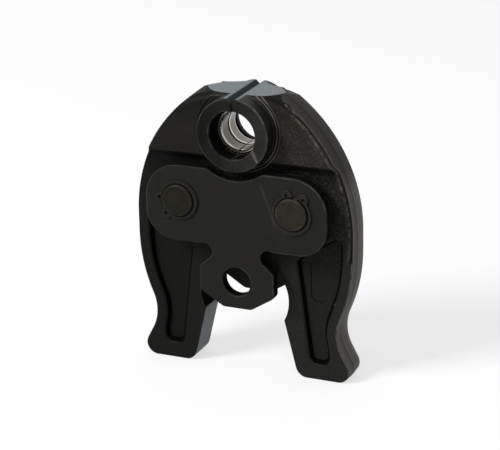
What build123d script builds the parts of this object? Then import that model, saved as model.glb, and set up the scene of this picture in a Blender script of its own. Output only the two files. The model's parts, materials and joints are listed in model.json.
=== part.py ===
"""Press jaw set for a pipe press machine: two cast jaw halves that swing on pivot pins between side plates.

X runs across the jaws, Y from the front to the back and Z up from the soles of the feet.
The set is upright and shut, with the press opening at the top. Sizes are in millimetres.
"""

import math
import os

from build123d import *

# Heights above the soles of the feet, and the pivots' distance from the middle
mount_height = 47.0
pivot_height = 83.8
press_height = 118.0
pivot_offset = 28.2

# Depths of the stack, which is centred on the middle plane of the set
ring_depth = 34.0
body_depth = 19.0
rear_relief = 1.0
seat_depth = 3.1
plate_thickness = 5.2
washer_thickness = 0.4
pin_end_length = 2.2

# Ring round the press opening
ring_radius = 17.4
ring_chamfer = 0.5
crown_flat = 0.3
spot_face_width = 3.0
spot_face_depth = 0.5
rear_blend_radius = 7.0
rear_blend_sink = 0.15

# Press contour, as radii and as widths along the opening
mouth_radius = 11.2
mouth_chamfer = 0.5
contour_length = 17.4
lip_radius = 9.9
lip_width = 0.5
line_groove_width = 0.4
line_groove_depth = 0.35
land_chamfer = 0.4
land_radius = 8.9
centre_groove_width = 0.7
centre_groove_depth = 0.4

# Outer outline of a jaw half, from the crown down to the foot
half_width = 54.0
crown_arc = 75.5
crown_sweep = 64.0
crown_dome_radius = 56.0
crown_dome_reach = 16.0
crown_dome_offset = 6.0
crown_dome_height = 20.0
crown_dome_blend = 4.0
shoulder_height = 72.0
hip_height = 62.0
hip_arc = 78.0
hip_sweep = 23.0
waist_arc = 20.5
foot_flare = 28.0
foot_tip_radius = 6.0
draft_angle = 2.5
trim_allowance = 2.0
sole_trim = 0.5
cast_edge_radius = 0.7

# Machined inner outline of a jaw half: split, throat, roller ramp and sole
split_gap_top = 0.75
split_gap_low = 0.3
split_low_height = 86.0
split_chamfer = 1.8
throat_offset = 2.4
throat_height = 36.9
throat_end_angle = 75.0
ramp_offset = 19.95
ramp_height = 27.4
ramp_angle = 13.7
sole_radius = 6.0

# Lower seat for the front side plate
seat_height = 105.0
seat_ramp_angle = 45.0
seat_fillet = 2.2

# Sunken pocket in each face of an arm, and the shallow field in one of them
rim_width = 6.0
pocket_depth = 3.0
pocket_inner_height = 58.0
pocket_side_height = 72.0
pocket_foot_height = 8.3
pocket_foot_width = 8.6
pocket_inner_angle = 7.1
pocket_waist_sweep = 18.0
pocket_waist_blend = 8.0
pocket_corner_radius = 2.4
pocket_foot_radius = 3.2
pocket_rim_radius = 1.5
pocket_floor_radius = 1.2
field_width = 8.2
field_height = 22.0
field_depth = 0.5
field_inset = 3.4
field_low = 37.4

# Pivot pins and their retaining rings
pin_radius = 7.5
pin_chamfer = 0.5
pin_groove_depth = 0.35
pin_groove_play = 0.1
retainer_thickness = 1.0
retainer_outer_radius = 9.3
retainer_shift = 0.4
retainer_lug_radius = 2.4
retainer_lug_reach = 9.2
retainer_lug_angle = 26.0
retainer_gap = 3.0
retainer_hole_radius = 0.95
left_retainer_turn = 202.0
right_retainer_turn = 79.5

# Side plates
lobe_radius = 16.7
lobe_foot_height = 63.7
lobe_corner_radius = 14.0
crown_clearance = 4.7
crown_blend_radius = 6.0
notch_radius = 3.9
notch_offset = 15.95
notch_height = 60.2
notch_slope_angle = 41.0
notch_edge_radius = 1.6
tab_half_width = 18.5
tab_shoulder_radius = 2.5
tab_side_height = 41.0
tab_side_radius = 3.0
tab_foot_half_width = 7.0
tab_foot_height = 33.8
tab_foot_radius = 4.0
plate_chamfer = 0.4
mount_radius = 7.0

# Return springs in their recesses, and the anchor pins that hold them, on the rear side
spring_wire = 1.8
spring_mean_radius = 13.2
spring_quarter_turns = 10
spring_leg_length = 11.0
spring_samples = 400
recess_depth = 9.0
anchor_radius = 2.0
anchor_chamfer = 0.3
anchor_leg_share = 0.9
anchor_room_radius = 8.5

# Clearances
running_clearance = 0.05
seated_clearance = 0.03
washer_play = 0.1
washer_inset = 0.2
dome_clearance = 0.01
coil_clearance = 1.3
wire_clearance = 0.35
slot_clearance = 0.4
anchor_clearance = 0.5

# Places worked out from the sizes above
crown_height = press_height + ring_radius - crown_flat
body_face = body_depth / 2
rear_face = body_face - rear_relief
arm_face = body_face - seat_depth
parting_depth = (rear_face - arm_face) / 2
plate_inner = body_face + washer_thickness + washer_play
plate_outer = plate_inner + plate_thickness
pin_end = plate_outer + pin_end_length
pin_groove_radius = pin_radius - pin_groove_depth
beyond = ring_depth
press_axis = Axis((0, 0, press_height), (0, 1, 0))
right_pivot = (pivot_offset, pivot_height)
hub_radius = spring_mean_radius - spring_wire / 2 - coil_clearance
recess_radius = spring_mean_radius + spring_wire / 2 + coil_clearance
recess_floor = body_face - recess_depth
crown_centre = (half_width - crown_arc, shoulder_height)
hip_centre = (half_width - hip_arc, hip_height)
hip_angle = math.radians(hip_sweep)
waist_centre = (
    hip_centre[0] + (hip_arc + waist_arc) * math.cos(hip_angle),
    hip_centre[1] - (hip_arc + waist_arc) * math.sin(hip_angle),
)
pocket_outer_offset = waist_centre[0] - (waist_arc + rim_width) * math.cos(math.radians(pocket_waist_sweep))
pocket_inner_offset = pocket_outer_offset - pocket_foot_width
throat_radius = math.hypot(ramp_offset - throat_offset, ramp_height - throat_height)
throat_start_angle = math.degrees(math.atan2(ramp_height - throat_height, ramp_offset - throat_offset))
ramp_foot = (ramp_offset + ramp_height * math.tan(math.radians(ramp_angle)), 0)
anchor_offset = pivot_offset - spring_mean_radius - spring_wire / 2 - anchor_radius - running_clearance
anchor_height = pivot_height - anchor_leg_share * spring_leg_length


def front_plane(depth):
    """The upright plane at a depth in front of the middle plane; its own axes are X and Z."""
    return Plane.XZ.offset(depth)


def corner(sketch, point):
    """The corner of a sketch that is nearest to a point of its plane."""
    return sketch.vertices().sort_by_distance(point)[0]


def edges_at_depth(edges, depth):
    """Those edges that lie flat in the upright plane at a depth in front of the middle plane."""
    return edges.filter_by_position(Axis.Y, -depth, -depth)


def bore_profile():
    """Points of the press contour, from the front mouth to the rear one, as depth and radius."""
    mouth = ring_depth / 2
    contour_end = contour_length / 2
    lip_end = contour_end - lip_width
    land_start = lip_end - line_groove_width
    land_end = centre_groove_width / 2
    rear_half = [
        (land_end, land_radius + centre_groove_depth),
        (land_end, land_radius),
        (land_start - land_chamfer, land_radius),
        (land_start, land_radius + land_chamfer),
        (land_start, lip_radius + line_groove_depth),
        (lip_end, lip_radius + line_groove_depth),
        (lip_end, lip_radius),
        (contour_end, lip_radius),
        (contour_end, mouth_radius),
        (mouth - mouth_chamfer, mouth_radius),
        (mouth, mouth_radius + mouth_chamfer),
    ]
    front_half = [(-depth, radius) for depth, radius in reversed(rear_half)]
    return front_half + rear_half


def crown_trim():
    """What is taken off the right half's crown, so that its front is a dome up to the flat on top."""
    flat_end = crown_centre[0] + math.sqrt(crown_arc**2 - (crown_height - shoulder_height) ** 2)
    dome_drop = math.sqrt(crown_dome_radius**2 - crown_dome_reach**2)
    dome_middle = (parting_depth + crown_dome_offset, crown_height - dome_drop)
    dome_front = body_face + dome_clearance
    dome_lean = math.degrees(math.asin((dome_front + dome_middle[0]) / crown_dome_radius))
    dome_plane = Plane.YZ.offset(flat_end - crown_dome_reach)
    with BuildPart() as dome:
        with BuildSketch(dome_plane) as profile:
            with BuildLine():
                rim = CenterArc(dome_middle, crown_dome_radius, 90 - dome_lean, 2 * dome_lean)
                front_foot = ((rim @ 1).X, dome_middle[1])
                rear_foot = ((rim @ 0).X, dome_middle[1])
                Polyline(rim @ 1, front_foot, rear_foot, rim @ 0)
            make_face()
            fillet(corner(profile, rim @ 1), crown_dome_blend)
        revolve(axis=Axis(dome_plane.from_local_coords((*dome_middle, 0)), (0, 1, 0)))
    with BuildPart() as trim:
        with BuildSketch(Plane.XY.offset(crown_height - crown_dome_height)):
            Rectangle(4 * half_width, beyond)
        extrude(amount=beyond)
        add(dome.part, mode=Mode.SUBTRACT)
    return trim.part


def jaw_casting():
    """The right jaw half, with everything that both halves have."""
    with BuildPart() as casting:
        # Drafted blank, oversize wherever a face is machined later
        with BuildSketch(front_plane(-parting_depth)) as blank:
            with BuildLine():
                crown = CenterArc(crown_centre, crown_arc, 0, crown_sweep)
                Line(crown @ 0, (half_width, hip_height))
                CenterArc(hip_centre, hip_arc, 0, -hip_sweep)
                waist = CenterArc(waist_centre, waist_arc, 180 - hip_sweep, hip_sweep + foot_flare)
                foot_run = ((waist @ 1).Y + sole_trim) * math.tan(math.radians(foot_flare))
                foot_tip = ((waist @ 1).X + foot_run, -sole_trim)
                Polyline(
                    waist @ 1,
                    foot_tip,
                    (ramp_offset - trim_allowance, -sole_trim),
                    (ramp_offset - trim_allowance, throat_height),
                    (-trim_allowance, throat_height + throat_radius),
                    (-trim_allowance, (crown @ 1).Y),
                    crown @ 1,
                )
            make_face()
            fillet(corner(blank, foot_tip), foot_tip_radius)
        extrude(amount=body_face + parting_depth, taper=draft_angle)
        extrude(blank.sketch, amount=rear_face - parting_depth, dir=(0, 1, 0), taper=draft_angle)

        # Seat for the front side plate, below a sloping step
        step_run = seat_depth * math.tan(math.radians(seat_ramp_angle))
        with BuildSketch(front_plane(arm_face)):
            with Locations((0, seat_height - step_run)):
                Rectangle(4 * half_width, 2 * crown_height, align=(Align.CENTER, Align.MAX))
        extrude(amount=seat_depth, taper=-seat_ramp_angle, mode=Mode.SUBTRACT)

        # Rounded cast edges
        seat_edges = edges_at_depth(casting.edges(), arm_face)
        fillet(seat_edges.filter_by(Axis.X).group_by(Axis.Z)[-1], seat_fillet)
        cast_edges = [
            edge
            for depth in (body_face, arm_face, -rear_face)
            for edge in edges_at_depth(casting.edges(), depth)
        ]
        fillet(cast_edges, cast_edge_radius)

        # Domed front and rear of the crown
        front_trim = crown_trim()
        add(front_trim, mode=Mode.SUBTRACT)
        mirror(front_trim, about=front_plane(-parting_depth), mode=Mode.SUBTRACT)

        # Hub round the pivot
        with BuildSketch(Plane.XZ):
            with Locations(right_pivot):
                Circle(hub_radius)
        extrude(amount=body_face, both=True)

        # Ring round the press opening, spot faced on the front and blended into the web on the rear
        with BuildSketch(Plane.XZ):
            with Locations((0, press_height)):
                Circle(ring_radius)
        extrude(amount=ring_depth / 2, both=True)
        ring_edges = edges_at_depth(casting.edges(), ring_depth / 2)
        chamfer(ring_edges + edges_at_depth(casting.edges(), -ring_depth / 2), ring_chamfer)
        with BuildSketch(front_plane(body_face - spot_face_depth)):
            with Locations((0, press_height)):
                Circle(ring_radius + spot_face_width)
                Circle(ring_radius, mode=Mode.SUBTRACT)
        extrude(amount=beyond, mode=Mode.SUBTRACT)
        with BuildSketch(Plane.YZ):
            with BuildLine():
                blend_depth = rear_face + rear_blend_radius - rear_blend_sink
                blend_middle = (blend_depth, press_height + ring_radius + rear_blend_radius)
                blend_sweep = math.degrees(math.acos(1 - rear_blend_sink / rear_blend_radius))
                blend = CenterArc(blend_middle, rear_blend_radius, 270, blend_sweep - 90)
                Polyline(blend @ 0, (blend_depth, press_height), (rear_face, press_height), blend @ 1)
            make_face()
        revolve(axis=press_axis)

        # Machined faces: crown, split, throat, roller ramp and sole
        with BuildSketch(Plane.XZ) as machined:
            with BuildLine():
                far_side = half_width + beyond
                throat_centre = (throat_offset, throat_height)
                throat_sweep = throat_end_angle - throat_start_angle
                throat = CenterArc(throat_centre, throat_radius, throat_start_angle, throat_sweep)
                Polyline(
                    throat @ 1,
                    (split_gap_low / 2, split_low_height),
                    (split_gap_top / 2, crown_height - split_chamfer),
                    (split_gap_top / 2 + split_chamfer, crown_height),
                    (far_side, crown_height),
                    (far_side, crown_height + beyond),
                    (-beyond, crown_height + beyond),
                    (-beyond, -beyond),
                    (far_side, -beyond),
                    (far_side, 0),
                    ramp_foot,
                    throat @ 0,
                )
            make_face()
            fillet(corner(machined, ramp_foot), sole_radius)
        extrude(amount=ring_depth, both=True, mode=Mode.SUBTRACT)

        # Press contour
        with BuildSketch(Plane.YZ):
            with BuildLine():
                mouth = ring_depth / 2
                Polyline(
                    (-mouth, press_height),
                    *[(depth, press_height + radius) for depth, radius in bore_profile()],
                    (mouth, press_height),
                    close=True,
                )
            make_face()
        revolve(axis=press_axis, mode=Mode.SUBTRACT)

        # Pivot bore, the recess and slot for the return spring, and the room for its anchor pin
        with BuildSketch(Plane.XZ):
            with Locations(right_pivot):
                Circle(pin_radius + running_clearance)
        extrude(amount=beyond, both=True, mode=Mode.SUBTRACT)
        with BuildSketch(front_plane(-recess_floor)):
            with Locations(right_pivot):
                Circle(recess_radius)
                with Locations((spring_mean_radius, -spring_leg_length / 2)):
                    SlotCenterToCenter(spring_leg_length, spring_wire + 2 * slot_clearance, rotation=90)
                Circle(hub_radius, mode=Mode.SUBTRACT)
        extrude(amount=-beyond, mode=Mode.SUBTRACT)
        with BuildSketch(front_plane(-arm_face)):
            with Locations((anchor_offset + anchor_radius, anchor_height + spring_wire)):
                Circle(anchor_room_radius)
            with Locations(right_pivot):
                Circle(hub_radius, mode=Mode.SUBTRACT)
        extrude(amount=-beyond, mode=Mode.SUBTRACT)

        # Pocket in each face of the arm
        for face, surface in ((1, arm_face), (-1, rear_face)):
            with BuildSketch(front_plane(face * (surface - pocket_depth))) as pocket:
                with BuildLine():
                    side_offset = half_width - rim_width
                    lean = math.tan(math.radians(pocket_inner_angle))
                    inner_run = lean * (pocket_inner_height - pocket_foot_height)
                    side_top = (side_offset, pocket_side_height)
                    inner_top = (pocket_inner_offset - inner_run, pocket_inner_height)
                    inner_foot = (pocket_inner_offset, pocket_foot_height)
                    Line(side_top, (side_offset, hip_height))
                    CenterArc(hip_centre, hip_arc - rim_width, 0, -hip_sweep)
                    waist_sweep = hip_sweep + pocket_waist_sweep
                    waist = CenterArc(waist_centre, waist_arc + rim_width, 180 - hip_sweep, waist_sweep)
                    outer_foot = (pocket_outer_offset, pocket_foot_height)
                    Polyline(waist @ 1, outer_foot, inner_foot, inner_top, side_top)
                make_face()
                fillet([corner(pocket, side_top), corner(pocket, inner_top)], pocket_corner_radius)
                fillet([corner(pocket, outer_foot), corner(pocket, inner_foot)], pocket_foot_radius)
                fillet(corner(pocket, waist @ 1), pocket_waist_blend)
            extrude(amount=face * beyond, mode=Mode.SUBTRACT)
            fillet(edges_at_depth(casting.edges(Select.LAST), face * surface), pocket_rim_radius)
            pocket_floor = edges_at_depth(casting.edges(), face * (surface - pocket_depth))
            fillet(pocket_floor, pocket_floor_radius)
    return casting.part


def side_plate(face):
    """A side plate, on the front (1) or the rear (-1), without the holes for the anchor pins."""
    lobe_side = pivot_offset + lobe_radius
    lobe_top = pivot_height + lobe_radius
    crown_radius = ring_radius + crown_clearance
    crown_corner = math.sqrt(crown_radius**2 - (press_height - lobe_top) ** 2)
    notch_start = math.degrees(math.asin((lobe_foot_height - notch_height) / notch_radius))
    notch_sweep = 270 - notch_slope_angle - notch_start
    with BuildPart() as plate:
        with BuildSketch(front_plane(face * plate_inner)) as outline:
            with BuildLine():
                notch = CenterArc((notch_offset, notch_height), notch_radius, notch_start, notch_sweep)
                notch_edge = notch @ 0
                slope_run = tab_half_width - (notch @ 1).X
                shoulder = (notch @ 1).Y - slope_run * math.tan(math.radians(notch_slope_angle))
                Polyline((0, lobe_top), (lobe_side, lobe_top), (lobe_side, lobe_foot_height), notch_edge)
                Polyline(
                    notch @ 1,
                    (tab_half_width, shoulder),
                    (tab_half_width, tab_side_height),
                    (tab_foot_half_width, tab_foot_height),
                    (0, tab_foot_height),
                )
                mirror(about=Plane.YZ)
            make_face()
            with Locations((0, press_height)):
                Circle(crown_radius, mode=Mode.SUBTRACT)
            for side in (1, -1):
                fillet(corner(outline, (side * lobe_side, lobe_top)), lobe_radius)
                fillet(corner(outline, (side * lobe_side, lobe_foot_height)), lobe_corner_radius)
                fillet(corner(outline, (side * crown_corner, lobe_top)), crown_blend_radius)
                fillet(corner(outline, (side * notch_edge.X, lobe_foot_height)), notch_edge_radius)
                fillet(corner(outline, (side * tab_half_width, shoulder)), tab_shoulder_radius)
                fillet(corner(outline, (side * tab_half_width, tab_side_height)), tab_side_radius)
                fillet(corner(outline, (side * tab_foot_half_width, tab_foot_height)), tab_foot_radius)
            with Locations((0, mount_height)):
                Circle(mount_radius, mode=Mode.SUBTRACT)
        extrude(amount=face * plate_thickness)
        chamfer(edges_at_depth(plate.edges(), face * plate_outer), plate_chamfer)
        with BuildSketch(front_plane(face * plate_inner)):
            with Locations((pivot_offset, pivot_height), (-pivot_offset, pivot_height)):
                Circle(pin_radius + seated_clearance)
        extrude(amount=face * plate_thickness, mode=Mode.SUBTRACT)
    return plate.part


def pivot_pin(side):
    """A pivot pin, on the right (1) or the left (-1), with a groove near each end."""
    pin_place = (side * pivot_offset, pivot_height)
    with BuildPart() as pin:
        with BuildSketch(Plane.XZ):
            with Locations(pin_place):
                Circle(pin_radius)
        extrude(amount=pin_end, both=True)
        chamfer(pin.edges(), pin_chamfer)
        for face in (1, -1):
            with BuildSketch(front_plane(face * plate_outer)):
                with Locations(pin_place):
                    Circle(2 * pin_radius)
                    Circle(pin_groove_radius, mode=Mode.SUBTRACT)
            extrude(amount=face * (retainer_thickness + pin_groove_play), mode=Mode.SUBTRACT)
    return pin.part


def retaining_ring(side, face, turn):
    """An open ring with two lugs, in the groove of a pin; turn is the way that its gap faces."""
    with BuildPart() as retainer:
        with BuildSketch(front_plane(face * plate_outer)):
            with Locations(Location((side * pivot_offset, pivot_height, 0), (0, 0, turn))):
                lugs = PolarLocations(
                    retainer_lug_reach, 2, -retainer_lug_angle, 2 * retainer_lug_angle, endpoint=True
                )
                with Locations((-retainer_shift, 0)):
                    Circle(retainer_outer_radius)
                with lugs:
                    Circle(retainer_lug_radius)
                with lugs:
                    Circle(retainer_hole_radius, mode=Mode.SUBTRACT)
                Circle(pin_groove_radius + seated_clearance, mode=Mode.SUBTRACT)
                Rectangle(
                    2 * retainer_outer_radius,
                    retainer_gap,
                    align=(Align.MIN, Align.CENTER),
                    mode=Mode.SUBTRACT,
                )
        extrude(amount=face * retainer_thickness)
    return retainer.part


def thrust_washer(side, face):
    """A thin washer against the inner face of a side plate, round a pin."""
    with BuildPart() as washer:
        with BuildSketch(front_plane(face * plate_inner)):
            with Locations((side * pivot_offset, pivot_height)):
                Circle(hub_radius - washer_inset)
                Circle(pin_radius + running_clearance, mode=Mode.SUBTRACT)
        extrude(amount=-face * washer_thickness)
    return washer.part


def spring_anchor(side):
    """A dowel in the rear side plate that holds the free leg of a return spring."""
    with BuildPart() as anchor:
        with BuildSketch(front_plane(-plate_outer)):
            with Locations((side * anchor_offset, anchor_height)):
                Circle(anchor_radius)
        extrude(amount=plate_outer - arm_face - anchor_clearance)
        chamfer(anchor.edges().filter_by(GeomType.CIRCLE), anchor_chamfer)
    return anchor.part


def biarc(start, start_direction, end, end_direction):
    """Two arcs that leave the start and reach the end in the given directions and meet smoothly."""
    chord = end - start
    both = start_direction + end_direction
    bend = both.dot(both) - 4
    lean = chord.dot(both)
    reach = (lean - math.sqrt(lean**2 - bend * chord.dot(chord))) / bend
    start_handle = start + start_direction * reach
    end_handle = end - end_direction * reach
    middle = (start_handle + end_handle) / 2
    TangentArc(start, middle, tangent=start_direction)
    TangentArc(middle, end, tangent=(end_handle - start_handle).normalized())


def least_gap(path):
    """The least room between two turns of the spring's wire, measured on points of its middle line."""
    points = [path @ (step / spring_samples) for step in range(spring_samples + 1)]
    half_turn = round(spring_samples * math.pi * spring_mean_radius / path.length)
    spans = [
        (far - near).length
        for start, near in enumerate(points)
        for far in points[start + half_turn :]
    ]
    return min(spans) - spring_wire


def return_spring():
    """The right return spring: a coil round the hub with one leg in the jaw and one at the anchor."""
    turns = spring_quarter_turns / 4
    leg_share = spring_leg_length / (math.pi * spring_mean_radius)
    room = plate_inner - recess_floor - spring_wire - 2 * wire_clearance
    pitch = room / (turns + leg_share)
    start_depth = recess_floor + wire_clearance + spring_wire / 2 + pitch * leg_share / 2

    def coil_point(quarter):
        angle = math.radians(90 * quarter)
        return Vector(
            pivot_offset + spring_mean_radius * math.cos(angle),
            start_depth + pitch * quarter / 4,
            pivot_height + spring_mean_radius * math.sin(angle),
        )

    def coil_direction(quarter):
        angle = math.radians(90 * quarter)
        climb = pitch / (2 * math.pi * spring_mean_radius)
        return Vector(-math.sin(angle), climb, math.cos(angle)).normalized()

    with BuildPart() as spring:
        with BuildLine() as wire_line:
            first, last = coil_point(0), coil_point(spring_quarter_turns)
            Line(first - coil_direction(0) * spring_leg_length, first)
            for quarter in range(spring_quarter_turns):
                biarc(
                    coil_point(quarter),
                    coil_direction(quarter),
                    coil_point(quarter + 1),
                    coil_direction(quarter + 1),
                )
            Line(last, last + coil_direction(spring_quarter_turns) * spring_leg_length)
        wire_path = wire_line.wire()
        with BuildSketch(Plane(origin=wire_path @ 0, z_dir=wire_path % 0)):
            Circle(spring_wire / 2)
        sweep(path=wire_path)
    print("Least gap between the turns of the spring:", round(least_gap(wire_path), 2))
    return spring.part


os.makedirs("parts", exist_ok=True)
casting = jaw_casting()

with BuildPart() as right_jaw:
    add(casting)
    with BuildSketch(front_plane(arm_face - pocket_depth - field_depth)):
        with Locations((pocket_inner_offset + field_inset, field_low + field_height / 2)):
            SlotOverall(field_height, field_width, rotation=90)
    extrude(amount=field_depth, mode=Mode.SUBTRACT)

with BuildPart() as left_jaw:
    mirror(casting, about=Plane.YZ)

rear_blank = side_plate(-1)
with BuildPart() as rear_plate:
    add(rear_blank)
    with BuildSketch(front_plane(-plate_inner)):
        with Locations((anchor_offset, anchor_height), (-anchor_offset, anchor_height)):
            Circle(anchor_radius + seated_clearance)
    extrude(amount=-plate_thickness, mode=Mode.SUBTRACT)

pieces = {
    "left_jaw": left_jaw.part,
    "right_jaw": right_jaw.part,
    "front_plate": side_plate(1),
    "rear_plate": rear_plate.part,
}
spring = return_spring()
turns = {"left": left_retainer_turn, "right": right_retainer_turn}
for side_name, side in (("left", -1), ("right", 1)):
    pieces[f"{side_name}_pivot_pin"] = pivot_pin(side)
    pieces[f"{side_name}_spring_anchor"] = spring_anchor(side)
    for face_name, face in (("front", 1), ("rear", -1)):
        pieces[f"{face_name}_{side_name}_retaining_ring"] = retaining_ring(side, face, turns[side_name])
        pieces[f"{face_name}_{side_name}_thrust_washer"] = thrust_washer(side, face)
pieces["right_return_spring"] = spring
pieces["left_return_spring"] = mirror(spring, about=Plane.YZ)

for name, piece in pieces.items():
    piece.label = name
    export_step(piece, f"parts/{name}.step")
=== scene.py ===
"""Looks of a pipe press jaw set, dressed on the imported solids: laid out as an add-on, run as a script."""

import json
import math

import bmesh
import bpy
from mathutils import Matrix, Vector


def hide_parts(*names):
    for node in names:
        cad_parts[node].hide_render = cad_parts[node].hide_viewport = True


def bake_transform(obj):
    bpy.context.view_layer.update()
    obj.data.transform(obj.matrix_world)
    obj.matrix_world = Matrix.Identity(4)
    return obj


bl_info = {
    "name": "Pipe press jaw set",
    "version": (1, 0, 0),
    "blender": (4, 5, 0),
    "location": "View3D > Sidebar > Jaw set",
    "description": "Dresses the packed solids of a pipe press jaw set and stages them",
    "category": "Object",
}

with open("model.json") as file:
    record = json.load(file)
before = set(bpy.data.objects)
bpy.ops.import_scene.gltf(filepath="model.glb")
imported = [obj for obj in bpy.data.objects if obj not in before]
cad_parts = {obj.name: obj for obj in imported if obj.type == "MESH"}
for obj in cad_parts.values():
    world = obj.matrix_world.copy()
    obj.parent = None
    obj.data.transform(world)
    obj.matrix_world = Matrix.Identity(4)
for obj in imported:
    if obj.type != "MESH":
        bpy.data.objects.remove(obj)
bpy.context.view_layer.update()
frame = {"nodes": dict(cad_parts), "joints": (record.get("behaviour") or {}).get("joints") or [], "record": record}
MM = 0.001
SIDES = {"left": -1, "right": 1}
FACES = ("front", "rear")

# Places and sizes that the frame gives
MOUNTS = {mount["name"]: mount for mount in frame["record"]["mounts"]}
JOINTS = {joint["name"]: joint for joint in frame["joints"]}
BORE_HEIGHT = MOUNTS["machine_pin"]["pos_m"][2]
PRESS_HEIGHT = MOUNTS["press_contour"]["pos_m"][2]
LAND_RADIUS = MOUNTS["press_contour"]["dims"]["r_mm"] * MM
PIVOT_OFFSET, _, PIVOT_HEIGHT = JOINTS["right_pivot"]["pos_m"]
RAMP = MOUNTS["right_roller_ramp"]
RAMP_SLOPE = RAMP["axis"][2] / RAMP["axis"][0]
RAMP_FOOT = RAMP["pos_m"][0] + RAMP_SLOPE * RAMP["pos_m"][2]

# Sizes of the solids that the finish follows; a face or an end is its distance from the middle plane
WEB_FACE = 9.5 * MM
ARM_FACE = 6.4 * MM
POCKET_FLOOR = 3.4 * MM
PLATE_FACE = 15.2 * MM
RING_FACE = 17.0 * MM
RING_RADIUS = 17.4 * MM
SPOT_FACE = 9.0 * MM
SPOT_RADIUS = 20.4 * MM
MOUTH_RADIUS = 11.2 * MM
LAND_END = 7.8 * MM
LIP_START = 8.2 * MM
SPLIT_GAP = 0.75 * MM
SPLIT_CHAMFER = 1.8 * MM
PIN_RADIUS = 7.5 * MM
CROWN_HEIGHT = 135.1 * MM
SEAT_HEIGHT = 105.0 * MM
CROWN_ARC = 75.5 * MM
CROWN_CENTRE = (-21.5 * MM, 0, 72.0 * MM)
WAIST_CENTRE = (66.7 * MM, 0, 23.5 * MM)
THROAT_CENTRE = (2.4 * MM, 0, 36.9 * MM)

# Bounds of masks, a little past what they cover: a reach starts at a centre, an edge or the middle plane
MARGIN = 0.1 * MM
BARE_REACH = 1.4 * MM
GROOVE_REACH = 0.75 * MM
RAMP_REACH = 0.57 * MM
RAMP_TOP = 28.0 * MM
CROWN_REACH = 74.3 * MM
WAIST_REACH = 23.5 * MM
WAIST_TOP = 38.0 * MM
THROAT_REACH = 20.3 * MM
TOE_START = 46.0 * MM
TOE_HEIGHT = 7.0 * MM
POCKET_MIDDLE = 40.0 * MM
POCKET_REACH = 35.0 * MM
REAR_MOUTH = 14.2 * MM

# Marks on the jaws: painted highlights on the spot facer's two rings, and two rubs from a start to an end
FACER_HIGHLIGHTS = (18.9 * MM, 20.2 * MM)
RING_RUB = ((10.0 * MM, -RING_FACE, 111.6 * MM), (12.2 * MM, -RING_FACE, 106.8 * MM))
PLATE_SCUFF = ((13.3 * MM, -PLATE_FACE, 95.0 * MM), (19.7 * MM, -PLATE_FACE, 76.8 * MM))

# What the dark pits and the pale tops of the cast grain make of the skin's colour
GRAIN_DARK = (0.4, 0.4, 0.4, 1)
GRAIN_PALE = (3.0, 3.0, 3.0, 1)

# Stage: the point that the camera is placed by, the point that the softbox faces, and the floor
BORE_FRONT = (0, -15.25 * MM, BORE_HEIGHT)
MIDDLE = (0, 0, 60 * MM)
FLOOR_REACH = 4.0
FLOOR_GAP = 0.2 * MM


def linear(hex_colour):
    """A hex sRGB colour as linear red, green, blue and alpha."""
    channels = [int(hex_colour[start : start + 2], 16) / 255 for start in (1, 3, 5)]
    curve = [
        share / 12.92 if share <= 0.04045 else ((share + 0.055) / 1.055) ** 2.4
        for share in channels
    ]
    return (*curve, 1.0)


def shade(colour, share):
    """A colour made darker or lighter by a share, with its alpha kept."""
    return (*[min(1.0, share * channel) for channel in colour[:3]], 1.0)


def colour_setting(name, description, hex_colour):
    """A colour that a user can change."""
    return bpy.props.FloatVectorProperty(
        name=name,
        description=description,
        subtype="COLOR",
        size=4,
        default=linear(hex_colour),
    )


def length_setting(name, description, default):
    """A length that a user can change."""
    return bpy.props.FloatProperty(name=name, description=description, unit="LENGTH", default=default)


class CastFinish(bpy.types.PropertyGroup):
    """Finish of the two cast jaw halves."""

    skin: colour_setting("Cast skin", "Colour of the black oxide on the cast arms", "#1f1f1d")
    web: colour_setting("Web", "Colour of the black oxide on the web beside the ring", "#272623")
    # Painted light: the outer walls are painted paler for the light that they reflect
    wall: colour_setting("Outer walls", "Colour of the rubbed oxide on the outer walls", "#55534e")
    turned: colour_setting("Ring", "Colour of the black oxide on the turned ring and spot face", "#232321")
    # Painted shade: the mouth, throat, split and pocket walls are painted near black for the shade in them
    shade_black: colour_setting("Hollows", "Colour of the matt oxide in the mouth, throat and split", "#050505")
    milled: colour_setting("Milled walls", "Colour of the thin oxide on the ramps and the soles", "#7a8386")
    # Thin oxide on the milled crown, painted paler still for the light that falls on it from above
    crown: colour_setting("Crown", "Colour of the thin oxide on the flat crown", "#787f81")
    bright: colour_setting("Press contour", "Colour of the bare steel of the press contour", "#66645c")
    # Also the colour of the painted highlights on edges, on the spot facer's rings and on the ring's rim
    worn: colour_setting("Worn edges", "Colour where the black has rubbed off an edge", "#7d786f")
    # Painted highlights: the rims of the press contour are painted bright for the light that they catch
    rim_highlight: colour_setting("Contour rims", "Colour of the polished rims of the press contour", "#d6d2c6")
    rust: colour_setting("Rusty line", "Colour of the line behind the web's front edge", "#140c0a")
    grain: length_setting("Cast grain", "Size of the grains of the cast skin", 0.6 * MM)


class PlateFinish(bpy.types.PropertyGroup):
    """Finish of the side plates, the pins and what holds them."""

    plate: colour_setting("Side plates", "Colour of the black oxide on the side plates", "#262623")
    brown: colour_setting("Brown clouds", "Colour of the oxide where it has turned brown", "#2a2620")
    pin: colour_setting("Pivot pins", "Colour of the black oxide on the pivot pins", "#27261f")
    retainer: colour_setting("Retaining rings", "Colour of the phosphate coat on the rings", "#2b2a28")
    worn: colour_setting("Worn edges", "Colour where the black has rubbed off an edge", "#757067")
    inner: colour_setting("Washers and anchors", "Colour of the bare steel of the hidden parts", "#646360")


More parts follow.
